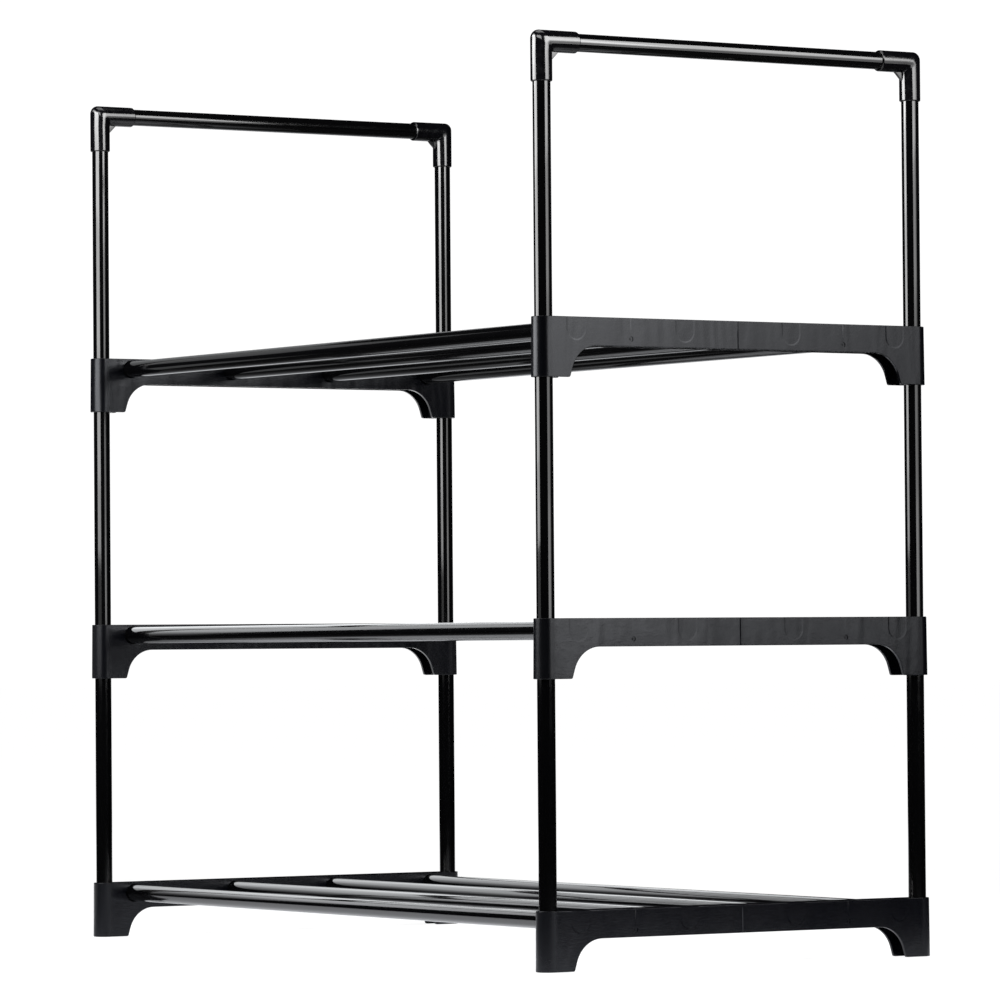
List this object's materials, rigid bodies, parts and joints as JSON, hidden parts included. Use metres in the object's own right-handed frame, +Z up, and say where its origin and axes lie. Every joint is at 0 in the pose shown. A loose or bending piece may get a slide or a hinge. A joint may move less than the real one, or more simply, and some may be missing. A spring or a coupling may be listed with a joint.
{
  "type": "tiered shoe rack",
  "caption": "Push-fit shoe rack with tubular steel shelves and uprights, moulded plastic side panels and a carrying loop at each end.",
  "frame": {"origin": "on the floor, under the middle of the rack", "axes": "+X to the rack's right, along its shelf tubes; +Y to the rear, along its side panels; +Z up"},
  "size_m": [0.6628, 0.3378, 0.6582],
  "materials": {
    "tube_steel": "gloss black paint",
    "panel_plastic": "satin moulded polypropylene, very dark grey",
    "elbow_plastic": "semi-gloss black moulded plastic"
  },
  "bodies": {
    "root": {"side_panel_tier1_left": "panel_plastic", "side_panel_tier1_right": "panel_plastic", "side_panel_tier2_left": "panel_plastic", "side_panel_tier2_right": "panel_plastic", "side_panel_tier3_left": "panel_plastic", "side_panel_tier3_right": "panel_plastic", "shelf_tube_tier1_1": "tube_steel", "shelf_tube_tier1_2": "tube_steel", "shelf_tube_tier1_3": "tube_steel", "shelf_tube_tier1_4": "tube_steel", "shelf_tube_tier2_1": "tube_steel", "shelf_tube_tier2_2": "tube_steel", "shelf_tube_tier2_3": "tube_steel", "shelf_tube_tier2_4": "tube_steel", "shelf_tube_tier3_1": "tube_steel", "shelf_tube_tier3_2": "tube_steel", "shelf_tube_tier3_3": "tube_steel", "shelf_tube_tier3_4": "tube_steel", "upright_level1_front_left": "tube_steel", "upright_level1_rear_left": "tube_steel", "upright_level1_front_right": "tube_steel", "upright_level1_rear_right": "tube_steel", "upright_level2_front_left": "tube_steel", "upright_level2_rear_left": "tube_steel", "upright_level2_front_right": "tube_steel", "upright_level2_rear_right": "tube_steel", "upright_level3_front_left": "tube_steel", "upright_level3_rear_left": "tube_steel", "upright_level3_front_right": "tube_steel", "upright_level3_rear_right": "tube_steel", "loop_tube_left": "tube_steel", "elbow_front_left": "elbow_plastic", "elbow_rear_left": "elbow_plastic", "loop_tube_right": "tube_steel", "elbow_front_right": "elbow_plastic", "elbow_rear_right": "elbow_plastic"}
  },
  "joints": []
}
